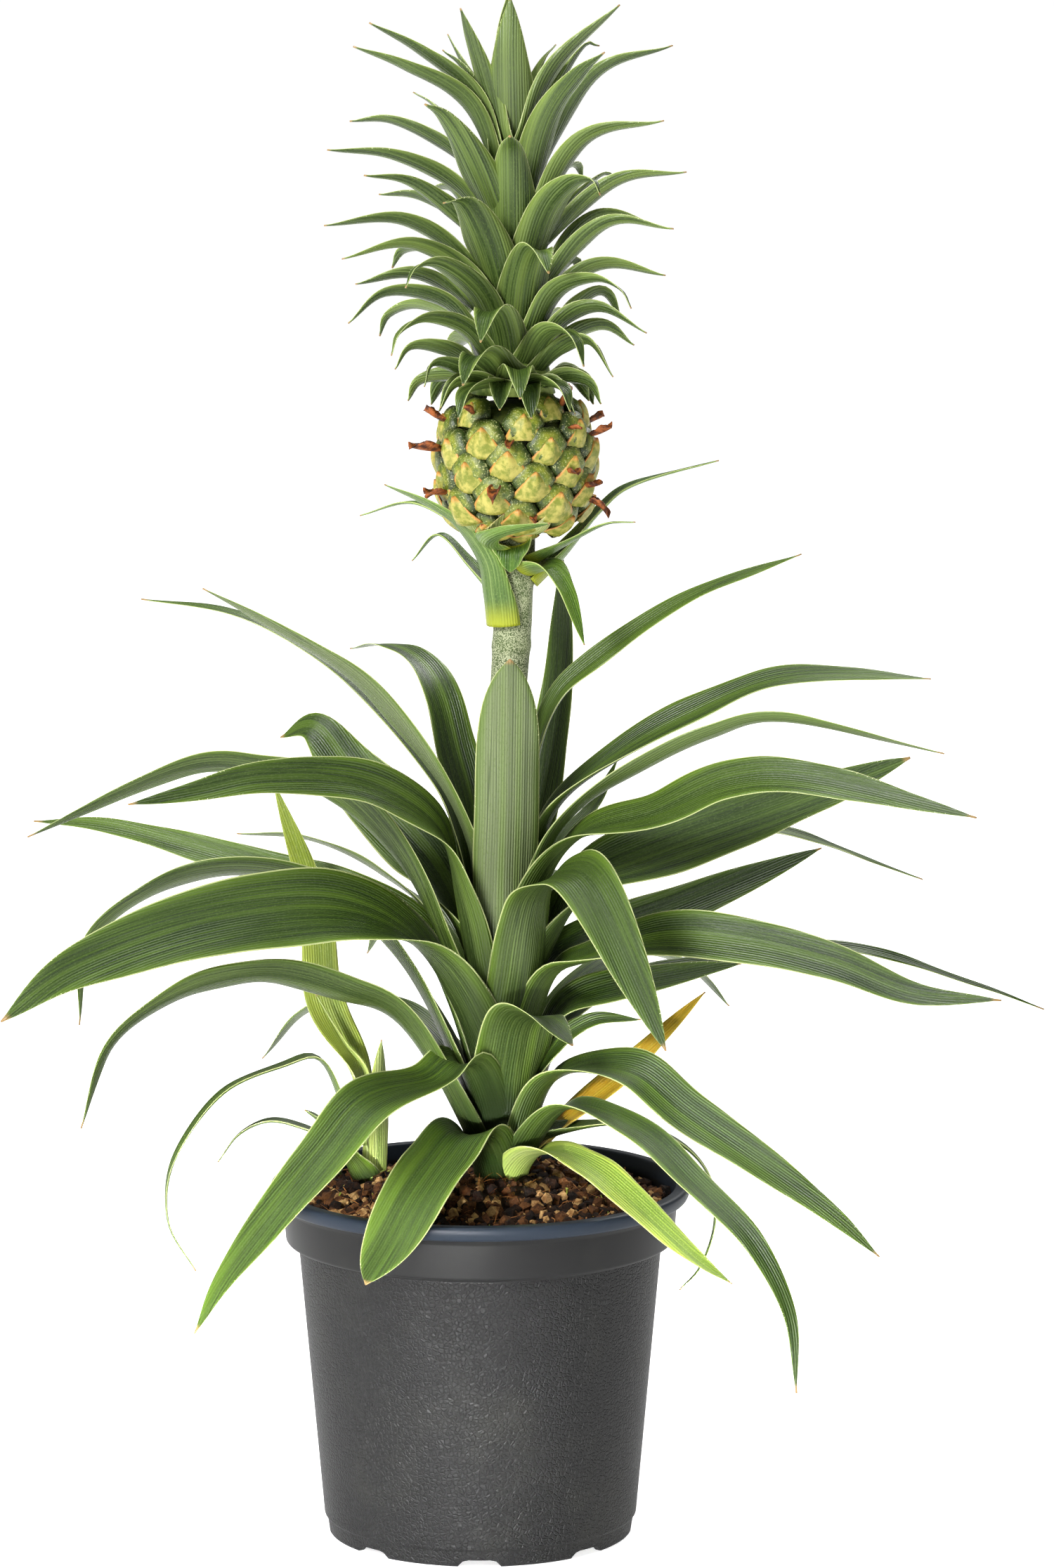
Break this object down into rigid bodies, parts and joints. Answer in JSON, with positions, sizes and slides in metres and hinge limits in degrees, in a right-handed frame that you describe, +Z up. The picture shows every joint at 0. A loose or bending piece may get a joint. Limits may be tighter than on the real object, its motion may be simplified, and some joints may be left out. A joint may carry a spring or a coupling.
{
  "type": "potted pineapple plant",
  "caption": "Fruiting ornamental pineapple plant: arching strap leaves, a stalk bearing one small fruit with a leafy crown, in a round black nursery pot of peat.",
  "frame": {"origin": "centre of the pot's underside, in the plane the pot stands on", "axes": "+Z up along the pot's axis, -Y towards the plant's front, +X to the right seen from the front"},
  "size_m": [0.2982, 0.2164, 0.438],
  "materials": {
    "pot_plastic": "satin, fine leather grain below the band",
    "peat": "rough, fibrous, matt",
    "stalk": "matt, mealy",
    "leaf_green": "satin, finely ribbed",
    "young_leaf_green": "satin",
    "stalk_leaf_green": "satin",
    "fruit_skin": "satin, knobbly",
    "crown_green": "satin"
  },
  "bodies": {
    "root": {"pot": "pot_plastic", "soil": "peat", "stem": "stalk", "fruit": "fruit_skin", "crown": "crown_green", "leaf_front_1": "leaf_green", "leaf_front_2": "leaf_green", "leaf_front_3": "leaf_green", "leaf_front_4": "leaf_green", "leaf_front_5": "leaf_green", "leaf_front_6": "leaf_green", "leaf_front_7": "leaf_green", "leaf_front_8": "leaf_green", "leaf_left_1": "leaf_green", "leaf_left_2": "leaf_green", "leaf_left_3": "leaf_green", "leaf_left_4": "leaf_green", "leaf_left_5": "leaf_green", "leaf_left_6": "leaf_green", "leaf_left_7": "leaf_green", "leaf_left_8": "leaf_green", "leaf_left_9": "leaf_green", "leaf_left_10": "leaf_green", "leaf_back_1": "leaf_green", "leaf_back_2": "leaf_green", "leaf_back_3": "leaf_green", "leaf_back_4": "leaf_green", "leaf_back_5": "leaf_green", "leaf_back_6": "leaf_green", "leaf_back_7": "leaf_green", "leaf_back_8": "leaf_green", "leaf_right_1": "leaf_green", "leaf_right_2": "leaf_green", "leaf_right_3": "leaf_green", "leaf_right_4": "leaf_green", "leaf_right_5": "leaf_green", "leaf_right_6": "leaf_green", "leaf_right_7": "leaf_green", "leaf_right_8": "leaf_green", "leaf_right_9": "leaf_green", "leaf_right_10": "leaf_green", "leaf_right_11": "leaf_green", "leaf_right_12": "leaf_green", "leaf_right_13": "leaf_green", "shoot_leaf_1": "young_leaf_green", "shoot_leaf_2": "young_leaf_green", "shoot_leaf_3": "young_leaf_green", "shoot_leaf_4": "young_leaf_green", "shoot_leaf_5": "young_leaf_green", "shoot_leaf_6": "young_leaf_green", "stalk_leaf_1": "stalk_leaf_green", "stalk_leaf_2": "stalk_leaf_green", "stalk_leaf_3": "stalk_leaf_green", "stalk_leaf_4": "stalk_leaf_green", "stalk_leaf_5": "stalk_leaf_green", "stalk_leaf_6": "stalk_leaf_green", "stalk_leaf_7": "stalk_leaf_green", "stalk_leaf_8": "stalk_leaf_green"}
  },
  "joints": []
}
